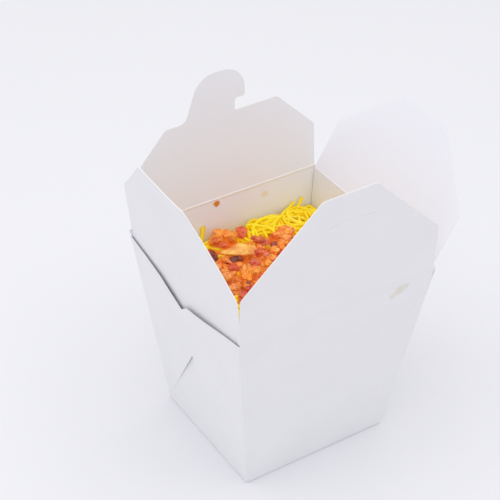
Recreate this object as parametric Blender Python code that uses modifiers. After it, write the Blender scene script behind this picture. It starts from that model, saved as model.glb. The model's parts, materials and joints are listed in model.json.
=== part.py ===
"""Noodle takeaway box, open, with noodles and a sauced topping.

A flared paperboard pail stands on its bottom. Its corner webs are folded flat against the outside
of the two end walls, and a flap is creased to each wall: two plain end flaps, a front flap with a
lock slit, and a back flap with a hooked tab. Inside lie a bed of noodles and chunks of topping.

Frame: metres, +Z up, origin on the table under the middle of the bottom, front wall towards -Y.
"""

import math
import random

import bmesh
import bpy
from mathutils import Euler, Matrix, Vector, noise

MM = 0.001

# Board and box
BOARD = 0.4 * MM
HEIGHT = 105.0 * MM  # table to the front crease
BASE_X, BASE_Y = 81.4 * MM, 74.0 * MM
MOUTH_X, MOUTH_Y = 107.6 * MM, 98.6 * MM
FOLD_RADIUS = 0.9 * MM
GAP = 0.3 * MM

# Each flap closes level, one board above the last, so each has its own crease height.
LAYER = 0.6 * MM
CREASE_Z = {
    "left": HEIGHT - 2 * LAYER,
    "right": HEIGHT - LAYER,
    "front": HEIGHT,
    "back": HEIGHT + LAYER,
}
LEAN_DEG = {"left": 11.9, "right": 29.5, "front": 1.4, "back": 5.5}  # outward from upright
HEADING_DEG = {"front": 0, "right": 90, "back": 180, "left": 270}  # turn of the wall's outer face
FLAP_START = 0.15 * MM  # from the crease's axis to the flap
TRIM_SLACK = 0.05 * MM  # the trimming boxes overlap a wall's inner face by this
TRIM_DEPTH = 6.0 * MM
FAR = 90.0 * MM  # beyond the whole box
WALL_END = 0.3 * MM  # from the wall's top up to the axis

# Flap outlines: straight sides up to the shoulder, then slanted to a flat top
END_FLAP_HALF = 48.5 * MM
LONG_FLAP_HALF = 53.1 * MM
END_SHOULDER, END_TOP, END_TOP_HALF = 27.0 * MM, 58.0 * MM, 16.7 * MM
FRONT_SHOULDER, FRONT_TOP, FRONT_TOP_HALF = 23.5 * MM, 61.9 * MM, 14.5 * MM
BACK_SHOULDER, BACK_TOP, BACK_TOP_HALF = 24.2 * MM, 46.4 * MM, 31.6 * MM
CORNER_RADIUS = 2.0 * MM

# Lock: the back flap's hook goes through the front flap's slit
HOOK_TOP = 68.9 * MM
HOOK_RIGHT = 20.5 * MM  # where the long side leaves the flap's top
HOOK_LEFT = 13.4 * MM  # the nose over the notch
NECK_LEFT = 7.4 * MM
NOTCH_FOOT = 45.6 * MM  # the notch's floor dips below the flap's top
HOOK_LEAN = 8.4 * MM  # how far the long side leans in over its height
NOSE_Z = 51.8 * MM
HEAD_RADIUS = 12.0 * MM
NECK_RADIUS = 5.0 * MM
NOSE_RADIUS = 1.6 * MM
SLIT_X, SLIT_Z = 2.0 * MM, 46.2 * MM
SLIT_HALF = 13.2 * MM
SLIT_RISE = 0.5 * MM
SLIT_WIDTH = 0.6 * MM

# Corner webs, folded double against the end walls
WEB_THICK = 0.85 * MM
WEB_OVERLAP = 0.1 * MM  # into the wall, so that the two join
WEB_KNEE_RADIUS = 6.0 * MM
WEB_HALF_ANGLE_DEG = 38.4  # half of what the blank leaves between two walls
WEB_TIP = 80.0 * MM  # height of the fold's upper end, up the wall
WEB_CORNER = 102.9 * MM
FRONT_WEB_KNEE = (45.5 * MM, 92.9 * MM)  # from the corner edge along the wall, and up it
BACK_WEB_KNEE = (27.0 * MM, 96.5 * MM)
FRONT_WEB_LIFT_DEG = 0.75  # it lies over the back web

# Food
BED_LEVEL = 84.0 * MM
BED_FLOOR = 0.8 * MM
BED_GRID = 26
# Heaps on the bed: rise, centre x and y, reach along x and y, in mm
BED_HEAPS = [(4.6, 20, 38, 20, 11), (1.5, 0, -5, 35, 30)]
BED_RIPPLE, BED_RIPPLE_SIZE = 1.3 * MM, 7.0 * MM
CHUNK_SINK = 2.6 * MM
PIT_MARGIN = 3.2 * MM

# Topping chunks: name, x, y, length, width, height, turn and lift above the bed, in mm and degrees
CHUNKS = [
    ("chunk_back_left", -9.5, 41.0, 13.0, 8.6, 8.5, 10, 1.2),
    ("chunk_back_mid", 2.6, 38.6, 8.0, 7.0, 6.8, 35, 0.4),
    ("chunk_left_dark", -20.0, 33.5, 10.0, 8.5, 7.0, -20, 0.0),
    ("chunk_centre_dark", -11.0, 23.6, 10.5, 6.0, 6.4, 5, -0.6),
    ("chunk_right_back", 20.6, 27.0, 12.0, 9.0, 7.6, -15, 0.6),
    ("chunk_right", 12.6, 17.6, 9.5, 8.4, 7.4, 30, 0.3),
    ("chunk_middle", 0.6, 13.0, 12.5, 9.4, 8.6, -35, 1.0),
    ("chunk_left", -22.8, 21.6, 9.0, 9.5, 7.2, 15, 0.1),
    ("chunk_front_middle", -11.8, 7.4, 12.0, 11.0, 8.8, 20, 1.2),
    ("chunk_front_left", -25.4, 9.4, 9.4, 9.0, 7.4, -30, 0.2),
    ("chunk_front_right", 12.2, 3.6, 11.0, 9.0, 7.6, 50, 0.5),
    ("chunk_front_tip", -17.4, -6.2, 10.0, 9.0, 7.2, 0, 0.0),
]
SLICE_AT = (-4.6 * MM, 31.2 * MM)
SLICE_LONG, SLICE_WIDE, SLICE_THICK = 23.0 * MM, 9.6 * MM, 2.6 * MM
SLICE_TURN_DEG = -36.0
SLICE_TILT_DEG = 14.0
SLICE_RISE = 4.2 * MM  # above the bed

LUMPS = [(0.30, 1.1), (0.14, 2.6)]  # rise and fineness of a chunk's bumps
SEED = 11


# Scene, materials and small tools


def clear_scene():
    for obj in list(bpy.data.objects):
        bpy.data.objects.remove(obj, do_unlink=True)


def make_collection(name, hidden=False):
    made = bpy.data.collections.new(name)
    bpy.context.scene.collection.children.link(made)
    made.hide_render = hidden
    return made


def material(name, colour, roughness):
    made = bpy.data.materials.new(name)
    made.use_nodes = True
    shader = made.node_tree.nodes["Principled BSDF"]
    shader.inputs["Base Color"].default_value = (*colour, 1.0)
    shader.inputs["Roughness"].default_value = roughness
    shader.inputs["Metallic"].default_value = 0.0
    made.diffuse_color = (*colour, 1.0)
    return made


def place(obj, collection, finish=None):
    collection.objects.link(obj)
    if finish:
        obj.data.materials.append(finish)
    return obj


def as_cutter(obj, cutters):
    cutters.objects.link(obj)
    obj.hide_render = True
    obj.display_type = "WIRE"
    return obj


def boolean(obj, other, operation):
    modifier = obj.modifiers.new(f"{operation.lower()} {other.name}", "BOOLEAN")
    modifier.object = other
    modifier.operation = operation
    modifier.solver = "EXACT"


def box_mesh(name, low, high):
    bm = bmesh.new()
    bmesh.ops.create_cube(bm, size=1.0)
    size = Vector(high) - Vector(low)
    bmesh.ops.scale(bm, vec=size, verts=bm.verts)
    bmesh.ops.translate(bm, vec=(Vector(low) + Vector(high)) / 2, verts=bm.verts)
    mesh = bpy.data.meshes.new(name)
    bm.to_mesh(mesh)
    bm.free()
    return bpy.data.objects.new(name, mesh)


# Outlines


def rounded(corners, steps=5):
    """Points of a closed outline whose corners, given as (x, y, radius), are rounded by arcs."""
    points = []
    count = len(corners)
    for i, (x, y, radius) in enumerate(corners):
        here = Vector((x, y))
        to_last = (Vector(corners[i - 1][:2]) - here).normalized()
        to_next = (Vector(corners[(i + 1) % count][:2]) - here).normalized()
        if radius <= 0:
            points.append(here)
            continue
        half_angle = to_last.angle(to_next) / 2
        reach = radius / math.tan(half_angle)
        centre = here + (to_last + to_next).normalized() * radius / math.sin(half_angle)
        first = here + to_last * reach - centre
        sweep = first.angle_signed(here + to_next * reach - centre)
        for k in range(steps + 1):
            turn = Matrix.Rotation(-sweep * k / steps, 2)
            points.append(centre + turn @ first)
    return points


def panel_mesh(name, points, thickness):
    """A flat board of this outline, its middle plane at z = 0, as a mesh object."""
    curve = bpy.data.curves.new(name + " outline", "CURVE")
    curve.dimensions = "2D"
    curve.fill_mode = "BOTH"
    curve.extrude = thickness / 2
    spline = curve.splines.new("POLY")
    spline.points.add(len(points) - 1)
    for knot, point in zip(spline.points, points):
        knot.co = (point[0], point[1], 0.0, 1.0)
    spline.use_cyclic_u = True
    guide = bpy.data.objects.new(name + " outline", curve)
    bpy.context.scene.collection.objects.link(guide)
    graph = bpy.context.evaluated_depsgraph_get()
    mesh = bpy.data.meshes.new_from_object(guide.evaluated_get(graph))
    bpy.data.objects.remove(guide)
    bm = bmesh.new()
    bm.from_mesh(mesh)
    bmesh.ops.remove_doubles(bm, verts=bm.verts, dist=0.01 * MM)
    bmesh.ops.recalc_face_normals(bm, faces=bm.faces)
    bm.to_mesh(mesh)
    bm.free()
    mesh.name = name
    return bpy.data.objects.new(name, mesh)


def plain_flap_outline(half, shoulder, top, top_half):
    return rounded(
        [
            (-half, FLAP_START, 0.0),
            (half, FLAP_START, 0.0),
            (half, shoulder, CORNER_RADIUS),
            (top_half, top, CORNER_RADIUS),
            (-top_half, top, CORNER_RADIUS),
            (-half, shoulder, CORNER_RADIUS),
        ]
    )


def back_flap_outline():
    """Seen from outside, so its x runs against the world's."""
    return rounded(
        [
            (-LONG_FLAP_HALF, FLAP_START, 0.0),
            (LONG_FLAP_HALF, FLAP_START, 0.0),
            (LONG_FLAP_HALF, BACK_SHOULDER, CORNER_RADIUS),
            (BACK_TOP_HALF, BACK_TOP, CORNER_RADIUS),
            (HOOK_RIGHT, BACK_TOP, NECK_RADIUS),
            (HOOK_RIGHT - HOOK_LEAN, HOOK_TOP, HEAD_RADIUS),
            (-HOOK_LEFT, HOOK_TOP, HEAD_RADIUS),
            (-HOOK_LEFT, NOSE_Z, NOSE_RADIUS),
            (-NECK_LEFT, NOSE_Z, NOSE_RADIUS),
            (-NECK_LEFT, NOTCH_FOOT, 0.0),
            (-BACK_TOP_HALF, BACK_TOP, CORNER_RADIUS),
            (-LONG_FLAP_HALF, BACK_SHOULDER, CORNER_RADIUS),
        ]
    )


def slit_outline(steps=8):
    """A thin slot along a shallow arc that rises in the middle."""
    lower = []
    upper = []
    for k in range(steps + 1):
        along = -1 + 2 * k / steps
        x = SLIT_X + SLIT_HALF * along
        z = SLIT_Z - SLIT_RISE * along * along
        lower.append(Vector((x, z - SLIT_WIDTH / 2)))
        upper.append(Vector((x, z + SLIT_WIDTH / 2)))
    return lower + upper[::-1]


# The box


def half_at(z, along_x):
    """Half of the box's outer width at a height."""
    base, mouth = (BASE_X, MOUTH_X) if along_x else (BASE_Y, MOUTH_Y)
    return (base + (mouth - base) * z / HEIGHT) / 2


def frustum(bm, z_low, z_high, inset=0.0):
    bmesh.ops.create_cube(bm, size=2.0)
    for vert in bm.verts:
        z = z_high if vert.co.z > 0 else z_low
        vert.co.x *= half_at(z, True) - inset
        vert.co.y *= half_at(z, False) - inset
        vert.co.z = z


def crease_point(side):
    """The middle of a flap's crease axis, in the middle of the board."""
    z = CREASE_Z[side]
    if side in ("left", "right"):
        x = half_at(z, True) - BOARD / 2
        return Vector((x if side == "right" else -x, 0.0, z))
    y = half_at(z, False) - BOARD / 2
    return Vector((0.0, y if side == "back" else -y, z))


def wall_slope(along_x):
    base, mouth = (BASE_X, MOUTH_X) if along_x else (BASE_Y, MOUTH_Y)
    return math.atan2((mouth - base) / 2, HEIGHT)


def body_shell():
    """Bottom and four walls, open at the top, with rounded folds."""
    bm = bmesh.new()
    top = CREASE_Z["back"] - WALL_END
    frustum(bm, 0.0, top)
    lid = [face for face in bm.faces if all(v.co.z > HEIGHT / 2 for v in face.verts)]
    bmesh.ops.delete(bm, geom=lid, context="FACES_ONLY")
    folds = [edge for edge in bm.edges if not edge.is_boundary]
    bmesh.ops.bevel(
        bm,
        geom=folds,
        offset=FOLD_RADIUS,
        segments=2,
        profile=0.5,
        affect="EDGES",
        material=-1,
    )
    mesh = bpy.data.meshes.new("box_body")
    bm.to_mesh(mesh)
    bm.free()
    shell = bpy.data.objects.new("box_body", mesh)
    wall = shell.modifiers.new("board", "SOLIDIFY")
    wall.thickness = BOARD
    wall.offset = -1.0
    wall.use_even_offset = True
    return shell


def trim_walls(shell, cutters):
    """Lowers the front wall and the end walls to their own creases."""
    inner_y = half_at(HEIGHT, False) - BOARD - TRIM_SLACK
    inner_x = half_at(HEIGHT, True) - TRIM_DEPTH
    front_y = TRIM_DEPTH / 2 - inner_y
    high = HEIGHT + TRIM_DEPTH
    boxes = {
        "left": ((-FAR, -inner_y, CREASE_Z["left"]), (-inner_x, inner_y, high)),
        "right": ((inner_x, -inner_y, CREASE_Z["right"]), (FAR, inner_y, high)),
        "front": ((-FAR, -FAR, CREASE_Z["front"]), (FAR, front_y, high)),
    }
    for side, (low, up) in boxes.items():
        low = (low[0], low[1], low[2] - WALL_END)
        cutter = as_cutter(box_mesh(f"trim {side}", low, up), cutters)
        boolean(shell, cutter, "DIFFERENCE")


def web_outline(knee, toward_front):
    """A folded web on an end wall: x runs from the front corner to the back one, y up the wall."""
    slope = wall_slope(True)
    slant = HEIGHT / math.cos(slope)
    lean = math.atan2((MOUTH_Y - BASE_Y) / 2, slant)
    fold = math.radians(WEB_HALF_ANGLE_DEG) - lean
    start = BASE_Y / 2
    corner_top = start + math.tan(lean) * WEB_CORNER
    knee_across = start + math.tan(lean) * knee[1] - knee[0]
    tip_across = start - math.tan(fold) * WEB_TIP
    points = [
        (start, 0.0, 0.0),
        (corner_top, WEB_CORNER, 0.0),
        (knee_across, knee[1], WEB_KNEE_RADIUS),
        (tip_across, WEB_TIP, CORNER_RADIUS),
    ]
    if toward_front:
        points = [(-x, y, r) for x, y, r in points]
    return rounded(points, 3)


def add_webs(shell, side, cutters):
    """Joins the two folded webs of an end wall to it, the front one over the back one."""
    outward = 1 if side == "right" else -1
    slope = wall_slope(True)
    for name, knee, toward_front in (
        ("front", FRONT_WEB_KNEE, True),
        ("back", BACK_WEB_KNEE, False),
    ):
        web = panel_mesh(f"{side} {name} web", web_outline(knee, toward_front), WEB_THICK)
        lift = Matrix.Translation((0, 0, WEB_THICK / 2 - WEB_OVERLAP))
        if toward_front:
            hinge = Matrix.Translation((-BASE_Y / 2, 0, 0))
            swing = Matrix.Rotation(math.radians(-FRONT_WEB_LIFT_DEG), 4, "Y")
            lift = hinge @ swing @ hinge.inverted() @ lift
        # Columns: along the wall to the back, up the wall, outward.
        along = Vector((0, 1, 0))
        up = Vector((outward * math.sin(slope), 0, math.cos(slope)))
        out = Vector((outward * math.cos(slope), 0, -math.sin(slope)))
        wall = Matrix((along, up, out)).transposed().to_4x4()
        wall.translation = (outward * BASE_X / 2, 0, 0)
        web.data.transform(wall @ lift)
        if wall.determinant() < 0:
            web.data.flip_normals()
        boolean(shell, as_cutter(web, cutters), "UNION")
    foot = box_mesh(f"{side} web foot", (-FAR, -FAR, -TRIM_DEPTH), (FAR, FAR, 0.0))
    boolean(shell, as_cutter(foot, cutters), "DIFFERENCE")


# The flaps


def flap(side, points, parts, finish):
    made = place(panel_mesh(f"{side}_flap", points, BOARD), parts, finish)
    axis = bpy.data.objects.new(f"{side} crease axis", None)
    axis.empty_display_size = 10 * MM
    axis.location = crease_point(side)
    axis.rotation_euler = Euler((0, 0, math.radians(HEADING_DEG[side])))
    parts.objects.link(axis)
    made.parent = axis
    made.rotation_euler = Euler((math.radians(90 + LEAN_DEG[side]), 0, 0))
    return made


def make_flaps(parts, cutters, finish):
    end = plain_flap_outline(END_FLAP_HALF, END_SHOULDER, END_TOP, END_TOP_HALF)
    for side in ("left", "right"):
        flap(side, end, parts, finish)
    flap("back", back_flap_outline(), parts, finish)
    front = plain_flap_outline(LONG_FLAP_HALF, FRONT_SHOULDER, FRONT_TOP, FRONT_TOP_HALF)
    front_flap = flap("front", front, parts, finish)
    slit = as_cutter(panel_mesh("lock slit", slit_outline(), 4 * BOARD), cutters)
    slit.parent = front_flap
    boolean(front_flap, slit, "DIFFERENCE")


# The food


def bed_height(x, y):
    """Height of the noodle bed's top before the chunks press into it."""
    top = BED_LEVEL
    for rise, centre_x, centre_y, wide, deep in BED_HEAPS:
        away = ((x - centre_x * MM) / (wide * MM)) ** 2 + ((y - centre_y * MM) / (deep * MM)) ** 2
        top += rise * MM * math.exp(-away)
    return top + BED_RIPPLE * noise.noise(Vector((x, y, 0.0)) / BED_RIPPLE_SIZE)


def chunk_centre_z(x, y, height, lift):
    return bed_height(x, y) + height / 2 - CHUNK_SINK + lift


def lumpy(name, size, seed):
    """A chunk of meat: a ball with soft facets and a few bumps, scaled to its size."""
    bm = bmesh.new()
    bmesh.ops.create_icosphere(bm, subdivisions=3, radius=1.0)
    rng = random.Random(seed)
    offset = Vector((rng.uniform(-50, 50) for _ in range(3)))
    for vert in bm.verts:
        way = vert.co.normalized()
        bumps = sum(rise * noise.noise(way * fineness + offset) for rise, fineness in LUMPS)
        vert.co = way * (0.92 + bumps)
    low = Vector((min(v.co[k] for v in bm.verts) for k in range(3)))
    high = Vector((max(v.co[k] for v in bm.verts) for k in range(3)))
    for vert in bm.verts:
        for k in range(3):
            vert.co[k] = ((vert.co[k] - low[k]) / (high[k] - low[k]) - 0.5) * size[k]
    mesh = bpy.data.meshes.new(name)
    bm.to_mesh(mesh)
    bm.free()
    mesh.shade_smooth()
    return bpy.data.objects.new(name, mesh)


def slice_mesh(name):
    """A thin slanted slice of cooked meat: a wedge outline, one long side straight."""
    half = SLICE_LONG / 2
    outline = rounded(
        [
            (-half, -0.42 * SLICE_WIDE, 1.0 * MM),
            (half, -0.5 * SLICE_WIDE, 1.2 * MM),
            (0.72 * half, 0.22 * SLICE_WIDE, 1.6 * MM),
            (0.05 * half, 0.5 * SLICE_WIDE, 2.4 * MM),
        ],
        4,
    )
    return panel_mesh(name, outline, SLICE_THICK)


def make_chunks(parts, finish):
    """Chunks of topping, and the pits that the bed leaves for them: (x, y, reach, floor)."""
    pits = []
    for number, (name, x, y, length, width, height, turn, lift) in enumerate(CHUNKS):
        x, y, length, width, height, lift = (v * MM for v in (x, y, length, width, height, lift))
        chunk = place(lumpy(name, (length, width, height), SEED + number), parts, finish)
        z = chunk_centre_z(x, y, height, lift)
        chunk.location = (x, y, z)
        chunk.rotation_euler = Euler((0, 0, math.radians(turn)))
        pits.append((x, y, max(length, width) / 2, z - height / 2 - GAP))
    piece = place(slice_mesh("sauced_slice"), parts, finish)
    x, y = SLICE_AT
    z = bed_height(x, y) + SLICE_RISE
    piece.location = (x, y, z)
    piece.rotation_euler = Euler((math.radians(SLICE_TILT_DEG), 0, math.radians(SLICE_TURN_DEG)))
    low = z - SLICE_THICK / 2 - SLICE_WIDE / 2 * math.sin(math.radians(SLICE_TILT_DEG)) - GAP
    pits.append((x, y, SLICE_LONG / 2, low))
    return pits


def make_noodles(pits, parts, finish):
    """The noodle bed fills the box below an uneven top, with a pit under each chunk."""
    bm = bmesh.new()
    bmesh.ops.create_grid(bm, x_segments=BED_GRID, y_segments=BED_GRID, size=1.0)
    inset = BOARD / math.cos(wall_slope(True)) + GAP
    top = list(bm.verts)
    for vert in top:
        x = vert.co.x * (half_at(BED_LEVEL, True) - inset)
        y = vert.co.y * (half_at(BED_LEVEL, False) - inset)
        z = bed_height(x, y)
        for pit_x, pit_y, reach, floor in pits:
            if math.hypot(x - pit_x, y - pit_y) < reach + PIT_MARGIN:
                z = min(z, floor)
        vert.co = (vert.co.x * (half_at(z, True) - inset), vert.co.y * (half_at(z, False) - inset), z)
    rim = [edge for edge in bm.edges if edge.is_boundary]
    skirt = bmesh.ops.extrude_edge_only(bm, edges=rim)["geom"]
    for vert in (item for item in skirt if isinstance(item, bmesh.types.BMVert)):
        z = BED_FLOOR
        across = (half_at(z, True) - inset) / (half_at(vert.co.z, True) - inset)
        deep = (half_at(z, False) - inset) / (half_at(vert.co.z, False) - inset)
        vert.co = (vert.co.x * across, vert.co.y * deep, z)
    bmesh.ops.holes_fill(bm, edges=[edge for edge in bm.edges if edge.is_boundary])
    bmesh.ops.recalc_face_normals(bm, faces=bm.faces)
    mesh = bpy.data.meshes.new("noodles")
    bm.to_mesh(mesh)
    bm.free()
    return place(bpy.data.objects.new("noodles", mesh), parts, finish)


def main():
    clear_scene()
    parts = make_collection("noodle takeaway box")
    cutters = make_collection("cutters", hidden=True)
    board = material("white board", (0.86, 0.87, 0.90), 0.55)
    noodle = material("yellow noodles", (0.95, 0.74, 0.08), 0.45)
    sauced = material("sauced meat", (0.80, 0.26, 0.05), 0.35)

    shell = place(body_shell(), parts, board)
    trim_walls(shell, cutters)
    for side in ("left", "right"):
        add_webs(shell, side, cutters)
    make_flaps(parts, cutters, board)
    pits = make_chunks(parts, sauced)
    make_noodles(pits, parts, noodle)


main()
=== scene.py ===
"""Noodle takeaway box, open, with noodles and a sauced topping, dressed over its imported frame.

Metres, +Z up, the box's bottom in the middle of z = 0, its front wall towards -Y.
"""

import json
import math
import random

import bmesh
import bpy
import numpy as np
from mathutils import Matrix, Vector, noise


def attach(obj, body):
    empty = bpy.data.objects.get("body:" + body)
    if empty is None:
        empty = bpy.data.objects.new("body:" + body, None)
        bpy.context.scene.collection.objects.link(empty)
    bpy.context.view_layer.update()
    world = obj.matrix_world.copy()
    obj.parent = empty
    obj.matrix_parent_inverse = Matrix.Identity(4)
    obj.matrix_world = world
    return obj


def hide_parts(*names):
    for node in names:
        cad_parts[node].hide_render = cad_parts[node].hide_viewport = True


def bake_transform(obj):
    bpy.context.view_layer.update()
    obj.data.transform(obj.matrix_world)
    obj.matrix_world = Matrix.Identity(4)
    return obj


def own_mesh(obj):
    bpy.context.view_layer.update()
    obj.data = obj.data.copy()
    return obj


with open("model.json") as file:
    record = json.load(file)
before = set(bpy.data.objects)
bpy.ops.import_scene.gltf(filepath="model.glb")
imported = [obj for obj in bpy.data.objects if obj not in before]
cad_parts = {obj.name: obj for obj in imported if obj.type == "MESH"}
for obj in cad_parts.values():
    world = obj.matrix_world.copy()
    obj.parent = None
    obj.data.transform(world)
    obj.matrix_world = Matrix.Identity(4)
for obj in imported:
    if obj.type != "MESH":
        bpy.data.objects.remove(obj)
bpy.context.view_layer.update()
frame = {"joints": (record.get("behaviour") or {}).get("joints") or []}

MM = 0.001

# Box, as in the frame
BOARD = 0.4 * MM
HEIGHT = 105.0 * MM
BASE_X, BASE_Y = 81.4 * MM, 74.0 * MM
MOUTH_X, MOUTH_Y = 107.6 * MM, 98.6 * MM
FOLD_RADIUS = 0.9 * MM
LEAN_DEG = {"left": 11.9, "right": 29.5, "front": 1.4, "back": 5.5}
HEADING_DEG = {"front": 0, "right": 90, "back": 180, "left": 270}
CORNER_RADIUS = 2.0 * MM
CREASE_REACH = 0.8 * MM  # the crease strip, to each side of its axis
WALL_LAP = 0.25 * MM  # a long wall's top runs under its crease strip by this
END_WALL_GAP = 0.45 * MM  # from an end wall's side to the outside of the front and back walls

# Folded webs on the end walls
WEB_HALF_ANGLE_DEG = 38.4
WEB_TIP = 80.0 * MM
WEB_CORNER = 102.9 * MM
FRONT_WEB_KNEE = (45.5 * MM, 92.9 * MM)
BACK_WEB_KNEE = (27.0 * MM, 96.5 * MM)
WEB_DEPTH = 1.0 * MM
WEB_FOOT_CLEAR = 4.0 * MM

# Food, as in the frame
BED_LEVEL = 84.0 * MM
BED_FLOOR = 0.8 * MM
CHUNK_SINK = 2.6 * MM
CHUNKS = [
    ("chunk_back_left", -9.5, 41.0, 13.0, 8.6, 8.5, 10, 1.2),
    ("chunk_back_mid", 2.6, 38.6, 8.0, 7.0, 6.8, 35, 0.4),
    ("chunk_left_dark", -20.0, 33.5, 10.0, 8.5, 7.0, -20, 0.0),
    ("chunk_centre_dark", -11.0, 23.6, 10.5, 6.0, 6.4, 5, -0.6),
    ("chunk_right_back", 20.6, 27.0, 12.0, 9.0, 7.6, -15, 0.6),
    ("chunk_right", 12.6, 17.6, 9.5, 8.4, 7.4, 30, 0.3),
    ("chunk_middle", 0.6, 13.0, 12.5, 9.4, 8.6, -35, 1.0),
    ("chunk_left", -22.8, 21.6, 9.0, 9.5, 7.2, 15, 0.1),
    ("chunk_front_middle", -11.8, 7.4, 12.0, 11.0, 8.8, 20, 1.2),
    ("chunk_front_left", -25.4, 9.4, 9.4, 9.0, 7.4, -30, 0.2),
    ("chunk_front_right", 12.2, 3.6, 11.0, 9.0, 7.6, 50, 0.5),
    ("chunk_front_tip", -17.4, -6.2, 10.0, 9.0, 7.2, 0, 0.0),
]
SLICE_AT = (-6.4 * MM, 26.6 * MM)
SLICE_LONG, SLICE_WIDE, SLICE_THICK = 22.0 * MM, 8.2 * MM, 1.5 * MM
SLICE_TURN_DEG, SLICE_TILT_DEG = -30.0, 16.0
NOODLE_RADIUS = 0.85 * MM
SEED = 11

JOINTS = {joint["name"]: joint for joint in frame["joints"]}


# Shader maths


class Value:
    """A shader output; Python's operators on it add Math nodes."""

    def __init__(self, finish, socket):
        self.finish = finish
        self.socket = socket

    def maths(self, operation, *values):
        links = {i: value for i, value in enumerate(values)}
        return self.finish.node("Math", {"operation": operation}, links)

    def __add__(self, other):
        return self.maths("ADD", self, other)

    def __mul__(self, other):
        return self.maths("MULTIPLY", self, other)

    def __sub__(self, other):
        return self.maths("SUBTRACT", self, other)

    def __rsub__(self, other):
        return self.maths("SUBTRACT", other, self)

    __radd__ = __add__

    def clamp(self):
        settings = {"operation": "ADD", "use_clamp": True}
        return self.finish.node("Math", settings, {0: self, 1: 0.0})

    def step(self, low, high):
        """0 below low, 1 above high, smooth between; low may be the larger."""
        settings = {"interpolation_type": "SMOOTHSTEP"}
        return self.finish.node("MapRange", settings, {0: self, 1: low, 2: high, 3: 0.0, 4: 1.0})


class Finish:
    """A material on one Principled shader."""

    def __init__(self, name, **constants):
        self.material = bpy.data.materials.new(name)
        self.material.use_nodes = True
        self.tree = self.material.node_tree
        self.shader = self.tree.nodes["Principled BSDF"]
        for label, value in constants.items():
            self.shader.inputs[label.replace("_", " ")].default_value = value

    def node(self, kind, settings, inputs, output=0):
        made = self.tree.nodes.new("ShaderNode" + kind)
        for label, value in settings.items():
            if label == "stops":
                self.set_stops(made.color_ramp, value)
            else:
                setattr(made, label, value)
        for key, value in inputs.items():
            if isinstance(value, Value):
                self.tree.links.new(value.socket, made.inputs[key])
            else:
                made.inputs[key].default_value = value
        return Value(self, made.outputs[output])

    def set_stops(self, ramp, stops):
        while len(ramp.elements) < len(stops):
            ramp.elements.new(1.0)
        for element, (at, colour) in zip(ramp.elements, stops):
            element.position = at
            element.color = (*colour, 1.0)

    def place(self):
        return self.node("TexCoord", {}, {}, "Object")

    def noise(self, at, scale, detail=2.0, rough=0.5):
        """Scale in cycles per metre."""
        links = {"Vector": at, "Scale": scale, "Detail": detail, "Roughness": rough}
        return self.node("TexNoise", {}, links, "Fac")

    def mix(self, factor, first, second, blend="MIX"):
        settings = {"data_type": "RGBA", "blend_type": blend}
        colours = [c if isinstance(c, Value) else (*c, 1.0) for c in (first, second)]
        return self.node("Mix", settings, {0: factor, 6: colours[0], 7: colours[1]}, 2)

    def spot(self, at, centre, radius, soft, ragged):
        """1 inside a ragged blot round a point, 0 outside."""
        away = self.node("VectorMath", {"operation": "DISTANCE"}, {0: at, 1: centre}, "Value")
        wobble = self.noise(at, 380.0, 3.0, 0.6) - 0.5
        return (away + wobble * ragged).step(radius + soft, radius - soft)

    def feed(self, label, value):
        self.tree.links.new(value.socket, self.shader.inputs[label])

    def bump(self, height, distance, strength=1.0):
        links = {"Strength": strength, "Distance": distance, "Height": height}
        self.feed("Normal", self.node("Bump", {}, links, "Normal"))


def linear(red, green, blue):
    """The shader's colour for a screen colour of 0 to 255."""
    return tuple(straightened(level / 255) for level in (red, green, blue))


def straightened(level):
    return level / 12.92 if level * 255 < 11 else ((level + 0.055) / 1.055) ** 2.4


# Finishes


def white_board():
    paint = Finish("white board", Roughness=0.5, Specular_IOR_Level=0.35)
    at = paint.place()
    cloud = paint.noise(at, 45.0, 3.0)
    fibre = paint.noise(at, 900.0, 4.0, 0.65)
    plain = paint.mix(cloud.step(0.3, 0.7), linear(240, 240, 243), linear(242, 242, 245))
    plain = paint.mix(fibre.step(0.35, 0.75) * 0.2, plain, linear(232, 232, 236))
    inside = inner_side(paint, at)
    # painted light: the inner faces are painted lighter and bluer than the outer ones, to offset the shade
    # and the warm light bounced from the food inside the box
    plain = paint.mix(inside, plain, linear(243, 246, 254))
    paint.feed("Base Color", stains_and_bounce_light(paint, at, plain, inside))
    paint.feed("Roughness", 0.46 + cloud * 0.1)
    paint.bump(fibre + cloud * 2.0, 0.00006, 0.6)
    return paint.material


STAINS = [
    # centre in mm, radius in mm, colour, strength, inside of the box
    ((-5.6, 48.4, 103.0), 1.9, (222, 140, 40), 1.0, True),
    ((23.0, 48.0, 99.0), 1.8, (238, 222, 160), 0.6, True),
    ((-14.5, 46.8, 92.0), 2.0, (253, 230, 60), 0.8, True),
    ((35.0, -47.6, 97.5), 3.0, (224, 214, 190), 0.5, False),
    ((31.0, -47.5, 95.0), 1.8, (224, 214, 190), 0.45, False),
    ((39.0, -47.9, 98.5), 1.8, (224, 214, 190), 0.4, False),
]


def inner_side(paint, at):
    """1 on the board's coated side, which faces the box's middle, 0 on its outer side; it places the
    painted light and the stains on the inner faces.
    """
    facing = paint.node("TexCoord", {}, {}, "Normal")
    level = paint.node("VectorMath", {"operation": "MULTIPLY"}, {0: at, 1: (1.0, 1.0, 0.0)})
    along = paint.node("VectorMath", {"operation": "DOT_PRODUCT"}, {0: facing, 1: level}, "Value")
    return (along * -400.0).clamp()


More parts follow.
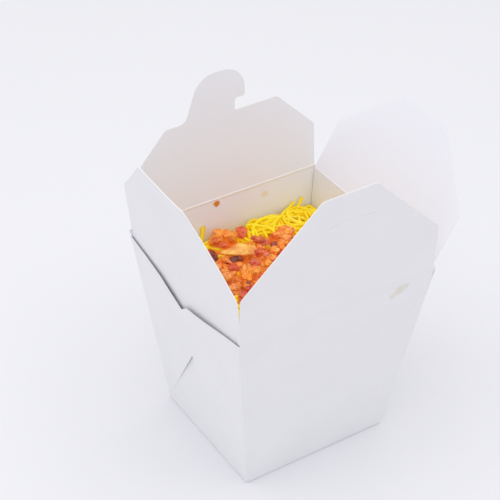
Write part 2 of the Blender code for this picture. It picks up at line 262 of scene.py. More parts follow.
def stains_and_bounce_light(paint, at, plain, inside):
    """The board's colour with grease and sauce on it, and a warm tint low on the inner faces that is
    partly grease and partly painted light bounced from the food.
    """
    height = paint.node("SeparateXYZ", {}, {0: at}, "Z")
    ragged = paint.noise(at, 60.0, 3.0) * 0.02
    # painted light and grease: below about 100 mm the inner faces are tinted warm yellow, partly as grease
    # and partly as painted light bounced from the food
    grease_and_bounce_tint = (height + ragged).step(0.112, 0.088) * inside
    colour = paint.mix(grease_and_bounce_tint * 0.3, plain, linear(250, 240, 212))
    for centre, radius, shade, strength, within in STAINS:
        centre = tuple(c * MM for c in centre)
        mask = paint.spot(at, centre, radius * MM, 0.5 * MM, 2.6 * MM) * strength
        mask = mask * (inside if within else 1.0 - inside)
        colour = paint.mix(mask, colour, linear(*shade))
    return colour


def cut_edge():
    paint = Finish("board cut edge", Roughness=0.7, Specular_IOR_Level=0.2)
    at = paint.place()
    grain = paint.noise(at, 2500.0, 3.0)
    paint.feed("Base Color", paint.mix(grain, linear(238, 237, 236), linear(250, 249, 248)))
    paint.bump(grain, 0.00004, 0.5)
    return paint.material


def creased_board():
    paint = Finish("creased board", Roughness=0.5, Specular_IOR_Level=0.35)
    at = paint.place()
    crushed = paint.noise(at, 700.0, 4.0, 0.6)
    paint.feed("Base Color", paint.mix(crushed, linear(236, 236, 238), linear(250, 250, 250)))
    paint.bump(crushed, 0.0001, 0.6)
    return paint.material


def noodle_yellow():
    paint = Finish(
        "yellow noodle",
        Roughness=0.38,
        Specular_IOR_Level=0.45,
        Subsurface_Weight=0.25,
        Subsurface_Scale=0.0012,
        Emission_Strength=0.12,
    )
    at = paint.place()
    tone = paint.node("Attribute", {"attribute_name": "tone"}, {}, "Fac")
    patch = paint.noise(at, 60.0, 3.0)
    deep = paint.mix(tone, linear(244, 208, 4), linear(251, 229, 14))
    pale = paint.mix((tone * patch * 2.0).step(0.55, 1.2) * 0.6, deep, linear(250, 226, 90))
    sauced = paint.mix(patch.step(0.62, 0.75) * 0.5, pale, linear(242, 176, 18))
    paint.feed("Base Color", sauced)
    # painted light: with the emission strength set above, the noodles glow faintly in their own colour,
    # which brightens them beyond what the lamps give
    paint.feed("Emission Color", sauced)
    paint.feed("Roughness", 0.3 + patch * 0.25)
    paint.bump(paint.noise(at, 900.0, 2.0), 0.0001, 0.5)
    return paint.material


def noodle_core():
    paint = Finish("noodle mass", Roughness=0.5, Subsurface_Weight=0.2, Subsurface_Scale=0.0015)
    at = paint.place()
    patch = paint.noise(at, 200.0, 3.0)
    paint.feed("Base Color", paint.mix(patch, linear(236, 172, 6), linear(248, 206, 14)))
    paint.bump(patch, 0.001, 0.6)
    return paint.material


MEAT_STOPS = {
    "orange": [
        (0.25, (186, 70, 20)),
        (0.40, (236, 116, 32)),
        (0.54, (253, 158, 52)),
        (0.68, (255, 208, 104)),
    ],
    "red": [
        (0.25, (132, 26, 14)),
        (0.42, (208, 72, 34)),
        (0.58, (238, 112, 56)),
        (0.74, (250, 176, 96)),
    ],
    "dark": [
        (0.25, (46, 18, 16)),
        (0.45, (112, 40, 30)),
        (0.6, (170, 72, 50)),
        (0.8, (232, 132, 60)),
    ],
}


def sauced_meat(name, stops):
    paint = Finish(
        name,
        Roughness=0.35,
        Specular_IOR_Level=0.5,
        Subsurface_Weight=0.12,
        Subsurface_Scale=0.0012,
        Coat_Roughness=0.12,
        Emission_Strength=0.2,
    )
    at = paint.place()
    patch = paint.noise(at, 230.0, 4.0, 0.6)
    fine = paint.noise(at, 900.0, 3.0, 0.6)
    stops = [(place, linear(*colour)) for place, colour in stops]
    mixed = patch * 0.75 + fine * 0.25
    base = paint.node("ValToRGB", {"stops": stops}, {0: mixed})
    red = paint.noise(at, 120.0, 2.0).step(0.54, 0.66)
    base = paint.mix(red * 0.4, base, linear(206, 60, 38))
    burnt = paint.noise(at, 480.0, 3.0, 0.7).step(0.57, 0.66) * 0.5
    base = paint.mix(burnt, base, linear(96, 24, 14))
    left = paint.node("SeparateXYZ", {}, {0: at}, "X")
    left = (left + paint.noise(at, 90.0, 2.0) * 0.02).step(-0.006, -0.018) * 0.35
    base = paint.mix(left, base, linear(176, 44, 28))
    paint.feed("Base Color", base)
    # painted light: with the emission strength set above, the meat glows in its own colour, which
    # brightens it as if it were lit more strongly
    paint.feed("Emission Color", base)
    wet = paint.noise(at, 150.0, 2.0).step(0.35, 0.6)
    paint.feed("Roughness", 0.48 - wet * 0.26)
    paint.feed("Coat Weight", wet * 0.8)
    paint.bump(patch * 2.0 + fine, 0.0009, 0.9)
    return paint.material


def sauced_slice_finish():
    paint = Finish(
        "sauced slice",
        Roughness=0.3,
        Subsurface_Weight=0.15,
        Subsurface_Scale=0.0015,
        Coat_Roughness=0.1,
        Emission_Strength=0.04,
    )
    at = paint.place()
    patch = paint.noise(at, 180.0, 3.0, 0.6)
    fine = paint.noise(at, 800.0, 3.0)
    base = paint.mix(patch.step(0.35, 0.65), linear(232, 140, 52), linear(254, 202, 86))
    base = paint.mix(fine.step(0.62, 0.72) * 0.7, base, linear(196, 84, 30))
    paint.feed("Base Color", base)
    # painted light: with the emission strength set above, the slice glows faintly in its own colour, which
    # brightens it
    paint.feed("Emission Color", base)
    paint.feed("Coat Weight", patch * 0.6)
    paint.bump(patch + fine * 0.5, 0.0004, 0.6)
    return paint.material


def floor_white():
    paint = Finish("studio floor", Roughness=0.9, Specular_IOR_Level=0.1)
    at = paint.place()
    cloud = paint.noise(at, 3.0, 2.0)
    paint.feed("Base Color", paint.mix(cloud, linear(238, 239, 242), linear(240, 241, 244)))
    return paint.material


# Making pieces


def make_piece(name, bm, finishes):
    mesh = bpy.data.meshes.new(name)
    bm.to_mesh(mesh)
    bm.free()
    for finish in finishes:
        mesh.materials.append(finish)
    piece = bpy.data.objects.new(name, mesh)
    bpy.context.scene.collection.objects.link(piece)
    return piece


def settle(piece):
    """Puts the modifiers' result into the piece's own mesh."""
    graph = bpy.context.evaluated_depsgraph_get()
    mesh = bpy.data.meshes.new_from_object(piece.evaluated_get(graph))
    piece.modifiers.clear()
    piece.data = mesh
    return piece


def give_thickness(piece, thickness, offset, sharp_deg=40.0):
    wall = piece.modifiers.new("board", "SOLIDIFY")
    wall.thickness = thickness
    wall.offset = offset
    wall.use_even_offset = True
    wall.material_offset_rim = 1
    settle(piece)
    piece.data.shade_smooth()
    piece.data.set_sharp_from_angle(angle=math.radians(sharp_deg))
    weights = piece.modifiers.new("flat shading", "WEIGHTED_NORMAL")
    weights.keep_sharp = True
    return settle(piece)


def cut_into_grid(bm, axis, positions):
    normal = Vector((0.0, 0.0, 0.0))
    normal[axis] = 1.0
    for at in positions:
        every = bm.verts[:] + bm.edges[:] + bm.faces[:]
        bmesh.ops.bisect_plane(bm, geom=every, dist=1e-6, plane_co=normal * at, plane_no=normal)


def smooth_step(value, low, high):
    t = min(max((value - low) / (high - low), 0.0), 1.0)
    return t * t * (3 - 2 * t)


def round_corner(bm, vert, radius, segments=5):
    """Rounds one corner of a flat outline."""
    near = [edge.other_vert(vert).co - vert.co for edge in vert.link_edges]
    reach = radius / math.tan(near[0].angle(near[1]) / 2)
    bmesh.ops.bevel(
        bm,
        geom=[vert],
        offset=reach,
        offset_type="OFFSET",
        segments=segments,
        profile=0.5,
        affect="VERTICES",
        material=-1,
    )


def outline_face(bm, points, radii):
    """A flat face of this outline, its corners rounded."""
    verts = [bm.verts.new((*point, 0.0)) for point in points]
    face = bm.faces.new(verts)
    for vert, radius in zip(verts, radii):
        if radius > 0:
            round_corner(bm, vert, radius)
    return face


def half_at(z, along_x):
    base, mouth = (BASE_X, MOUTH_X) if along_x else (BASE_Y, MOUTH_Y)
    return (base + (mouth - base) * z / HEIGHT) / 2


def wall_slope(along_x):
    base, mouth = (BASE_X, MOUTH_X) if along_x else (BASE_Y, MOUTH_Y)
    return math.atan2((mouth - base) / 2, HEIGHT)


def crease_at(side):
    return Vector(JOINTS[f"{side}_flap_crease"]["pos_m"])


def flap_frame(side):
    """Local x along the crease seen from outside, y up the flap, z outward."""
    turn = Matrix.Rotation(math.radians(HEADING_DEG[side]), 4, "Z")
    lean = Matrix.Rotation(math.radians(90 + LEAN_DEG[side]), 4, "X")
    return Matrix.Translation(crease_at(side)) @ turn @ lean


# The box


def end_pan():
    """Bottom and the two end walls, their bottom folds rounded."""
    bm = bmesh.new()
    bmesh.ops.create_cube(bm, size=2.0)
    top = HEIGHT + 1 * MM
    for vert in bm.verts:
        z = top if vert.co.z > 0 else 0.0
        vert.co = (vert.co.x * half_at(z, True), vert.co.y * half_at(z, False), z)
    lid = [face for face in bm.faces if face.calc_center_median().z > 0.9 * top]
    bmesh.ops.delete(bm, geom=lid, context="FACES_ONLY")
    folds = [edge for edge in bm.edges if not edge.is_boundary]
    bevel_folds(bm, folds)
    spare = [face for face in bm.faces if stands_across(face)]
    bmesh.ops.delete(bm, geom=spare, context="FACES")
    for vert in bm.verts:
        if vert.co.z > 2 * FOLD_RADIUS:
            vert.co.y = math.copysign(half_at(vert.co.z, False) - END_WALL_GAP, vert.co.y)
    for side, sign in (("left", -1), ("right", 1)):
        lower_top(bm, sign, crease_at(side).z - CREASE_REACH * math.cos(wall_slope(True)))
    return bm


def bevel_folds(bm, folds):
    bmesh.ops.bevel(
        bm,
        geom=folds,
        offset=FOLD_RADIUS,
        offset_type="OFFSET",
        segments=3,
        profile=0.5,
        affect="EDGES",
        material=-1,
    )


def stands_across(face):
    """True for the faces of the front and back walls and of the upright folds."""
    centre = face.calc_center_median()
    return centre.z > 2 * FOLD_RADIUS and abs(centre.y) > half_at(centre.z, False) - 1.02 * FOLD_RADIUS


def lower_top(bm, sign, z):
    for vert in bm.verts:
        if vert.co.z > HEIGHT and vert.co.x * sign > 0:
            vert.co.x = sign * half_at(z, True)
            vert.co.y = math.copysign(half_at(z, False) - END_WALL_GAP, vert.co.y)
            vert.co.z = z


def wall_point(outward, y, up, out):
    """A point on an end wall: across it, up its slope and off its face."""
    slope = wall_slope(True)
    x = BASE_X / 2 + math.sin(slope) * up + math.cos(slope) * out
    return Vector((outward * x, y, math.cos(slope) * up - math.sin(slope) * out))


def side_lean():
    slant = HEIGHT / math.cos(wall_slope(True))
    return math.atan2((MOUTH_Y - BASE_Y) / 2, slant)


def corner_across(up):
    return BASE_Y / 2 + math.tan(side_lean()) * up


def web_corners(knee):
    """Across the wall and up it: the web's foot, its top corner, its knee and the fold's tip."""
    lean = side_lean()
    fold = math.radians(WEB_HALF_ANGLE_DEG) - lean
    foot = FOLD_RADIUS / math.cos(wall_slope(True))
    return [
        (corner_across(foot), foot),
        (corner_across(WEB_CORNER), WEB_CORNER),
        (corner_across(knee[1]) - knee[0], knee[1]),
        (BASE_Y / 2 - math.tan(fold) * WEB_TIP, WEB_TIP),
    ]


def long_wall(facing):
    """The front (-1) or back (1) wall with both of its webs, folded double against the end walls."""
    bm = bmesh.new()
    depth = bm.verts.layers.float.new("depth")
    knee = FRONT_WEB_KNEE if facing < 0 else BACK_WEB_KNEE
    side = "front" if facing < 0 else "back"
    top = crease_at(side).z - CREASE_REACH * math.cos(wall_slope(False)) + WALL_LAP
    corners = {}
    for outward in (-1, 1):
        points = [wall_point(outward, facing * y, up, 0.0) for y, up in web_corners(knee)]
        for point in points[:2]:
            point.y = facing * half_at(point.z, False)
        upper = Vector((outward * half_at(top, True), facing * half_at(top, False), top))
        corners[outward] = [bm.verts.new(p) for p in (*points, upper)]
    left, right = corners[-1], corners[1]
    bm.faces.new([left[0], right[0], right[1], right[4], left[4], left[1]])
    folds = []
    for outward, verts in corners.items():
        web = bm.faces.new(verts[:4])
        fold_double(bm, web, verts, outward, depth)
        folds.append(bm.edges.get((verts[0], verts[1])))
    bevel_folds(bm, folds)
    bmesh.ops.recalc_face_normals(bm, faces=bm.faces)
    wall = max(bm.faces, key=lambda face: face.calc_area())
    if wall.normal.y * facing < 0:
        bmesh.ops.reverse_faces(bm, faces=bm.faces)
    hidden = [vert for vert in bm.verts if vert[depth] > 0 and vert.co.z < WEB_FOOT_CLEAR]
    bmesh.ops.delete(bm, geom=hidden, context="VERTS")
    cut_into_grid(bm, 0, [step * 9 * MM for step in range(-6, 7)])
    cut_into_grid(bm, 1, [step * 6 * MM for step in range(-8, 9)])
    cut_into_grid(bm, 2, [step * 8 * MM for step in range(1, 13)])
    for vert in bm.verts:
        vert.co = stand_off(vert.co, vert[depth], facing)
    return bm


def fold_double(bm, web, verts, outward, depth):
    """Rounds the web's corners and folds a copy of it under it, along the slanted fold."""
    out = wall_point(outward, 0.0, 0.0, 1.0) - wall_point(outward, 0.0, 0.0, 0.0)
    foot, knee, tip = verts[0], verts[2], verts[3]
    foot_at = foot.co.copy()
    round_corner(bm, knee, 3 * CORNER_RADIUS)
    round_corner(bm, tip, CORNER_RADIUS)
    web = next(face for face in foot.link_faces if abs(face.normal.dot(out)) > 0.9)
    fold = max(
        (edge for edge in foot.link_edges if edge.is_boundary and edge in web.edges[:]),
        key=lambda edge: abs(edge.other_vert(foot).co.y - foot_at.y),
    )
    inward = web.calc_center_median() - foot_at
    along = (fold.other_vert(foot).co - foot_at).normalized()
    copy = bmesh.ops.duplicate(bm, geom=[web])["geom"]
    under = [item for item in copy if isinstance(item, bmesh.types.BMVert)]
    bmesh.ops.translate(bm, vec=-out * WEB_DEPTH, verts=under)
    for vert in under:
        vert[depth] = WEB_DEPTH
    turn = -math.copysign(math.pi, along.cross(out).dot(inward))
    before = set(bm.verts)
    bmesh.ops.spin(
        bm,
        geom=[fold, *fold.verts],
        cent=foot_at - out * WEB_DEPTH / 2,
        axis=along,
        angle=turn,
        steps=4,
        use_merge=False,
        use_duplicate=False,
    )
    for vert in set(bm.verts) - before:
        vert[depth] = min(max(-(vert.co - foot_at).dot(out), 0.0), WEB_DEPTH)
    bmesh.ops.remove_doubles(bm, verts=list(set(bm.verts) - before) + under, dist=0.02 * MM)


WEB_STAND = {
    # at the top corner, more away from it, in mm: how far a web stands off its end wall
    (-1, -1): (1.4, 1.0),
    (-1, 1): (0.8, 0.95),
    (1, -1): (1.4, 0.8),
    (1, 1): (0.8, 0.5),
}


def stand_off(point, depth, facing):
    """Moves a point of a long wall or of its webs off the end wall, most at the top."""
    outward = -1 if point.x < 0 else 1
    slope = wall_slope(True)
    out = Vector((outward * math.cos(slope), 0.0, -math.sin(slope)))
    up = point.z / math.cos(slope)
    across = corner_across(up) - abs(point.y)
    if point.y * facing < 0:
        across = corner_across(up) + abs(point.y)
    at_corner, further = WEB_STAND[(facing, outward)]
    rise = up / WEB_CORNER
    off = (at_corner * rise**1.1 + further * rise * smooth_step(across, 6 * MM, 36 * MM)) * MM
    squeeze = min(1.0, 0.9 * off / WEB_DEPTH)
    share = smooth_step(abs(point.x) / half_at(point.z, True), 0.6, 0.985)
    moved = point + out * (off + depth * (1 - squeeze)) * share
    if share < 1.0:
        bow = math.sin(math.pi * min(point.z / HEIGHT, 1.0)) * (1 - (point.x / (BASE_X / 2)) ** 2 * 0.6)
        moved.y += facing * 0.35 * MM * max(bow, 0.0)
    return moved


def make_box_body(finishes):
    pieces = []
    bm = end_pan()
    cut_into_grid(bm, 1, [step * 9 * MM for step in range(-5, 6)])
    cut_into_grid(bm, 2, [step * 10 * MM for step in range(1, 11)])
    cut_into_grid(bm, 0, [step * 10 * MM for step in range(-3, 4)])
    pieces.append(make_piece("end walls", bm, finishes))
    for name, facing in (("front wall", -1), ("back wall", 1)):
        pieces.append(make_piece(name, long_wall(facing), finishes))
    for piece in pieces:
        give_thickness(piece, BOARD, -1.0)
    body = join(pieces, "paper_box")
    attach(body, "box")
    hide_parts("box_body")


def join(pieces, name):
    bpy.ops.object.select_all(action="DESELECT")
    for piece in pieces:
        piece.select_set(True)
    bpy.context.view_layer.objects.active = pieces[0]
    bpy.ops.object.join()
    joined = pieces[0]
    joined.name = name
    joined.data.name = name
    return joined


# Creases and flaps


def strip_ends(side):
    """The crease's ends along the flap's local x, at the wall and at the flap."""
    if side == "front":
        return (-55.2 * MM, 53.9 * MM), (-55.2 * MM, 53.5 * MM)
    if side == "back":
        return (-54.2 * MM, 54.9 * MM), (-53.4 * MM, 53.7 * MM)
    return (-48.6 * MM, 48.6 * MM), (-48.5 * MM, 48.5 * MM)


CREASE_BEAD = {"left": 0.0, "right": 0.15, "front": 0.0, "back": 0.4}  # mm, towards the inside


def make_crease(side, finishes):
    """The creased board between a wall and its flap."""
    rows, columns = 8, 24
    along_x = side in ("left", "right")
    slope_deg = math.degrees(wall_slope(along_x))
    wall_ends, flap_ends = strip_ends(side)
    bm = bmesh.new()
    bmesh.ops.create_grid(bm, x_segments=columns, y_segments=rows, size=1.0)
    heading = Matrix.Rotation(math.radians(HEADING_DEG[side]), 3, "Z")
    wall_way = heading @ Vector((0, -math.sin(math.radians(slope_deg)), math.cos(math.radians(slope_deg))))
    lean = math.radians(LEAN_DEG[side])
    flap_way = heading @ Vector((0, -math.sin(lean), math.cos(lean)))
    sideways = heading @ Vector((1, 0, 0))
    for vert in bm.verts:
        run = vert.co.y * CREASE_REACH
        share = (vert.co.x + 1) / 2
        t = smooth_step(vert.co.y, -1, 1)
        low = wall_ends[0] + (flap_ends[0] - wall_ends[0]) * t
        high = wall_ends[1] + (flap_ends[1] - wall_ends[1]) * t
        way = wall_way if run < 0 else flap_way
        bead = CREASE_BEAD[side] * MM * math.exp(-((run / (0.4 * MM)) ** 2))
        inward = heading @ Vector((0, bead, 0))
        vert.co = crease_at(side) + sideways * (low + (high - low) * share) + way * run + inward
    bmesh.ops.recalc_face_normals(bm, faces=bm.faces)
    strip = make_piece(f"{side}_crease", bm, finishes)
    give_thickness(strip, BOARD, 0.0, 60.0)
    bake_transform(strip)


def flap_outline(side):
    """Corners of a flap in its own frame, in mm, with the radius at each.

    The left flap's far corners stand 3 mm higher than in the frame.
    """
    start = CREASE_REACH / MM
    if side == "left":
        corners = [(-48.5, start, 0), (48.5, start, 0), (51.2, 27.0, 2.5)]
        return [*corners, (18.2, 58.0, 3), (-18.4, 61.0, 3), (-48.5, 30.0, 2.5)]
    if side == "right":
        corners = [(-48.5, start, 0), (48.5, start, 0), (48.5, 27.0, 2.5)]
        return [*corners, (16.7, 58.0, 3), (-16.7, 58.0, 3), (-48.5, 27.0, 2.5)]
    if side == "front":
        corners = [(-55.2, start, 0), (53.4, start, 0), (53.4, 23.5, 2.5)]
        return [*corners, (14.5, 61.9, 3), (-14.5, 61.9, 3), (-55.2, 23.5, 2.5)]
    return [
        (-53.4, start, 0),
        (53.7, start, 0),
        (53.2, 24.2, 2.5),
        (31.6, 46.4, 3),
        (20.5, 46.4, 5),
        (12.1, 68.6, 12),
        (-13.4, 68.6, 12),
        (-13.4, 51.8, 1.6),
        (-7.4, 51.8, 1.6),
        (-7.4, 45.5, 0.6),
        (-31.6, 45.8, 3),
        (-53.5, 24.2, 2.5),
    ]


SLIT_AT, SLIT_HALF, SLIT_RISE, SLIT_WIDE = (2.0, 46.0), 13.0, 0.5, 0.45
FLAP_BOW = {"left": -0.3, "right": -0.1, "front": 0.05, "back": 0.4}  # mm, outwards in the middle


def flap_sheet(side):
    bm = bmesh.new()
    corners = flap_outline(side)
    outline_face(bm, [(x * MM, y * MM) for x, y, _ in corners], [r * MM for _, _, r in corners])
    if side == "front":
        cut_slit(bm)
    cut_into_grid(bm, 0, [step * 6 * MM for step in range(-9, 10)])
    cut_into_grid(bm, 1, [step * 6 * MM for step in range(1, 12)])
    for vert in bm.verts:
        vert.co.z = flap_lift(side, vert.co.x / MM, vert.co.y / MM) * MM
    bmesh.ops.transform(bm, matrix=flap_frame(side), verts=bm.verts)
    return bm


def cut_slit(bm):
    """Opens the lock slit: a thin bowed slot through the flap."""
    border = bm.edges[:]
    bmesh.ops.delete(bm, geom=bm.faces[:], context="FACES_ONLY")
    steps = 10
    ring = []
    for edge_sign in (-1, 1):
        for k in range(steps + 1):
            along = (-1 + 2 * k / steps) * -edge_sign
            taper = math.sqrt(max(1 - along * along, 0.02))
            x = SLIT_AT[0] + SLIT_HALF * along
            y = SLIT_AT[1] + SLIT_RISE * (1 - along * along) + edge_sign * SLIT_WIDE / 2 * taper
            ring.append(bm.verts.new((x * MM, y * MM, 0.0)))
    edges = [bm.edges.new((a, b)) for a, b in zip(ring, ring[1:] + ring[:1])]
    bmesh.ops.triangle_fill(bm, edges=border + edges, use_beauty=True, use_dissolve=False)
    bmesh.ops.recalc_face_normals(bm, faces=bm.faces)
    if bm.faces[0].normal.z < 0:
        bmesh.ops.reverse_faces(bm, faces=bm.faces)


def flap_lift(side, x, y):
    """How far a flap's board stands off its plane: bowed over its height, and twisted at the left."""
    rise = max(y, 0.0) / 60.0
    lift = FLAP_BOW[side] * math.sin(math.pi * min(rise, 1.0)) * (1 - (x / 60.0) ** 2)
    if side == "left":
        near = smooth_step(x, 5.0, 50.0)
        lift -= math.tan(math.radians(2.5)) * near * y
        lift -= math.tan(math.radians(4.5)) * smooth_step(-x, 15.0, 48.5) * y
    return lift


def make_flap(side, finishes):
    flap = make_piece(f"{side}_flap_board", flap_sheet(side), finishes)
    give_thickness(flap, BOARD, 0.0)
    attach(flap, f"{side}_flap")
    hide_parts(f"{side}_flap")
    if side == "front":
        anchor = Vector((half_at(HEIGHT, True), 0, 0))
        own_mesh(flap)
    if side == "left":
        anchor = Vector((0, half_at(HEIGHT, False), 0))
        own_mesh(flap)


# The food


def bed_height(x, y):
    """Height of the noodle heap's top, as in the frame."""
    back = ((x - 20 * MM) / (20 * MM)) ** 2 + ((y - 38 * MM) / (11 * MM)) ** 2
    middle = (x / (35 * MM)) ** 2 + ((y + 5 * MM) / (30 * MM)) ** 2
    uneven = noise.noise(Vector((x, y, 0.0)) / (7.0 * MM))
    return BED_LEVEL + 4.6 * MM * math.exp(-back) + 1.5 * MM * math.exp(-middle) + 1.3 * MM * uneven


CELL = 0.7  # mm, the height map's step
MAP_HALF = 54.0  # mm, from the middle to the map's edge
CORE_GAP = 0.4 * MM  # between the core and the walls


class HeapMap:
    """How high the heap reaches at each spot, in mm; things dropped on it rest on what is there."""

    def __init__(self, start):
        self.count = int(2 * MAP_HALF / CELL) + 1
        self.height = np.zeros((self.count, self.count))
        for i in range(self.count):
            for j in range(self.count):
                self.height[i, j] = start(i * CELL - MAP_HALF, j * CELL - MAP_HALF)

    def index(self, value):
        return int(np.clip(round((value + MAP_HALF) / CELL), 0, self.count - 1))

    def patch(self, x, y, reach):
        i, j = self.index(x), self.index(y)
        n = int(math.ceil(reach / CELL))
        low_i, high_i = max(i - n, 0), min(i + n + 1, self.count)
        low_j, high_j = max(j - n, 0), min(j + n + 1, self.count)
        gx = np.arange(low_i, high_i)[:, None] * CELL - MAP_HALF - x
        gy = np.arange(low_j, high_j)[None, :] * CELL - MAP_HALF - y
        return (slice(low_i, high_i), slice(low_j, high_j)), np.hypot(gx, gy)

    def under(self, x, y, reach):
        """The highest point that a ball of this radius would touch, as its centre's height."""
        where, away = self.patch(x, y, reach)
        inside = away < reach
        if not inside.any():
            return float(self.height[self.index(x), self.index(y)])
        lift = np.sqrt(np.maximum(reach * reach - away * away, 0.0))
        return float((self.height[where] + lift)[inside].max())

    def put(self, x, y, z, reach):
        where, away = self.patch(x, y, reach)
        ball = z + np.sqrt(np.maximum(reach * reach - away * away, 0.0))
        before = self.height[where]
        self.height[where] = np.where(away < reach, np.maximum(before, ball), before)


def inside_half(z, along_x):
    """Half of the room between the walls at a height, in mm."""
    return (half_at(z * MM, along_x) - BOARD) / MM - 0.6


def core_half(z, along_x):
    """Half of the core's width or depth at a height, just clear of the walls."""
    return half_at(z, along_x) - BOARD - CORE_GAP


def make_core(finish):
    """The mass of noodles under the strands, filling the box."""
    bm = bmesh.new()
    bmesh.ops.create_grid(bm, x_segments=90, y_segments=90, size=1.0)
    for vert in bm.verts:
        gx, gy = vert.co.x, vert.co.y
        x = gx * core_half(BED_LEVEL, True)
        y = gy * core_half(BED_LEVEL, False)
        z = core_height(x / MM, y / MM) * MM
        vert.co = (gx * core_half(z, True), gy * core_half(z, False), z)
    rim = [edge for edge in bm.edges if edge.is_boundary]
    skirt = bmesh.ops.extrude_edge_only(bm, edges=rim)["geom"]
    for vert in (item for item in skirt if isinstance(item, bmesh.types.BMVert)):
        across = core_half(BED_FLOOR, True) / core_half(vert.co.z, True)
        deep = core_half(BED_FLOOR, False) / core_half(vert.co.z, False)
        vert.co = (vert.co.x * across, vert.co.y * deep, BED_FLOOR)
    bmesh.ops.holes_fill(bm, edges=[edge for edge in bm.edges if edge.is_boundary])
    bmesh.ops.recalc_face_normals(bm, faces=bm.faces)
    core = make_piece("noodle_core", bm, [finish])
    core.data.shade_smooth()
    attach(core, "box")
    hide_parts("noodles")


def core_height(x, y):
    swirl = noise.noise(Vector((x, y * 0.6, 3.0)) / 2.6)
    return bed_height(x * MM, y * MM) / MM - 3.6 + 0.7 * swirl


NOODLES_WANTED = 400
NOODLE_LENGTHS = (35, 110)  # mm
NOODLE_STEP = 1.8  # mm between a noodle's points
NOODLE_SINK = 0.35  # mm, into what it lies on
TURN_ZONE = 4  # mm from a wall, where a noodle turns away from it
HIGH_MEAN, HIGH_POINT = -0.1, 2.2  # mm over the heap's level


def wander(rng, length):
    """A noodle's way over the heap, in mm, kept between the walls."""
    step = NOODLE_STEP
    limit_x, limit_y = inside_half(83.0, True) - 1.2, inside_half(83.0, False) - 1.2
    x, y = rng.uniform(-limit_x, limit_x), rng.uniform(-limit_y, limit_y)
    heading = rng.uniform(0, 2 * math.pi)
    bend = rng.uniform(-0.06, 0.06)
    points = []
    for _ in range(int(length / step)):
        bend = 0.9 * bend + rng.gauss(0, 0.035)
        heading += bend * step
        x += math.cos(heading) * step
        y += math.sin(heading) * step
        if abs(x) > limit_x - TURN_ZONE and x * math.cos(heading) > 0:
            heading += 0.25 * step * math.copysign(1, math.sin(heading) * x)
        if abs(y) > limit_y - TURN_ZONE and y * math.sin(heading) > 0:
            heading -= 0.25 * step * math.copysign(1, math.cos(heading) * y)
        x = min(max(x, -limit_x), limit_x)
        y = min(max(y, -limit_y), limit_y)
        points.append((x, y))
    return np.array(points)


def smoothed(values, passes):
    for _ in range(passes):
        padded = np.concatenate((values[:1], values, values[-1:]))
        values = (padded[:-2] + 2 * padded[1:-1] + padded[2:]) / 4
    return values


def lay_noodle(heap, path, radius):
    """Heights of a noodle's points when it lies on the heap."""
    rest = np.array([heap.under(x, y, radius) for x, y in path]) - NOODLE_SINK
    eased = smoothed(np.maximum(rest, smoothed(rest, 3)), 3)
    return np.maximum(eased, rest - NOODLE_SINK)


CLINGING = [
    # noodles stuck up against the walls, in mm
    [
        (-18.0, 43.0, 85.5),
        (-17.0, 44.6, 87.2),
        (-16.0, 45.4, 89.2),
        (-15.2, 46.0, 91.2),
        (-14.8, 46.3, 93.0),
    ],
    [(-20.0, 43.0, 85.0), (-18.4, 45.0, 86.4), (-16.6, 45.5, 87.6), (-15.6, 45.8, 89.4)],
    [
        (37.0, 42.0, 83.5),
        (39.0, 43.6, 85.0),
        (41.6, 44.8, 87.0),
        (43.4, 45.4, 89.0),
        (44.4, 45.8, 90.6),
    ],
    [(30.0, 43.5, 86.0), (34.5, 44.8, 87.0), (38.0, 45.2, 88.6), (39.2, 45.6, 90.0)],
]


def add_strand(curve, points):
    spline = curve.splines.new("POLY")
    spline.points.add(len(points) - 1)
    for knot, (x, y, z) in zip(spline.points, points):
        knot.co = (x * MM, y * MM, z * MM, 1.0)


def make_strands(heap, finish):
    """Noodles laid one on another until the heap is full, as one mesh."""
    rng = random.Random(SEED)
    radius = NOODLE_RADIUS / MM
    curve = bpy.data.curves.new("noodle strands", "CURVE")
    curve.dimensions = "3D"
    curve.bevel_depth = NOODLE_RADIUS
    curve.bevel_resolution = 1
    curve.use_fill_caps = True
    tones = []
    tries = 0
    while len(tones) < NOODLES_WANTED and tries < 4 * NOODLES_WANTED:
        tries += 1
        path = wander(rng, rng.uniform(*NOODLE_LENGTHS))
        heights = lay_noodle(heap, path, radius)
        level = np.array([bed_height(x * MM, y * MM) / MM for x, y in path])
        if (heights - level).mean() > HIGH_MEAN and rng.random() < 0.9:
            continue
        if (heights - level).max() > HIGH_POINT:
            continue
        points = [(x, y, z) for (x, y), z in zip(path, heights)]
        for x, y, z in points:
            heap.put(x, y, z, radius)
        add_strand(curve, points)
        tones.append((rng.random(), len(points)))
    for points in CLINGING:
        add_strand(curve, points)
        tones.append((0.6, len(points)))
    tubes_to_piece("noodle_strands", curve, tones, finish)


def tubes_to_piece(name, curve, tones, finish):
    """The curve's tubes as a mesh. Each tone covers about one tube: rings are counted by an average."""
    guide = bpy.data.objects.new(name + " guide", curve)
    bpy.context.scene.collection.objects.link(guide)
    graph = bpy.context.evaluated_depsgraph_get()
    mesh = bpy.data.meshes.new_from_object(guide.evaluated_get(graph))
    bpy.data.objects.remove(guide)
    bm = bmesh.new()
    bm.from_mesh(mesh)
    sides = len(bm.verts) / sum(count for _, count in tones)
    layer = bm.verts.layers.float.new("tone")
    bm.verts.ensure_lookup_table()
    start = 0
    for tone, count in tones:
        size = int(round(sides * count))
        for k in range(start, min(start + size, len(bm.verts))):
            bm.verts[k][layer] = tone
        start += size
    piece = make_piece(name, bm, [finish])
    piece.data.shade_smooth()
    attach(piece, "box")


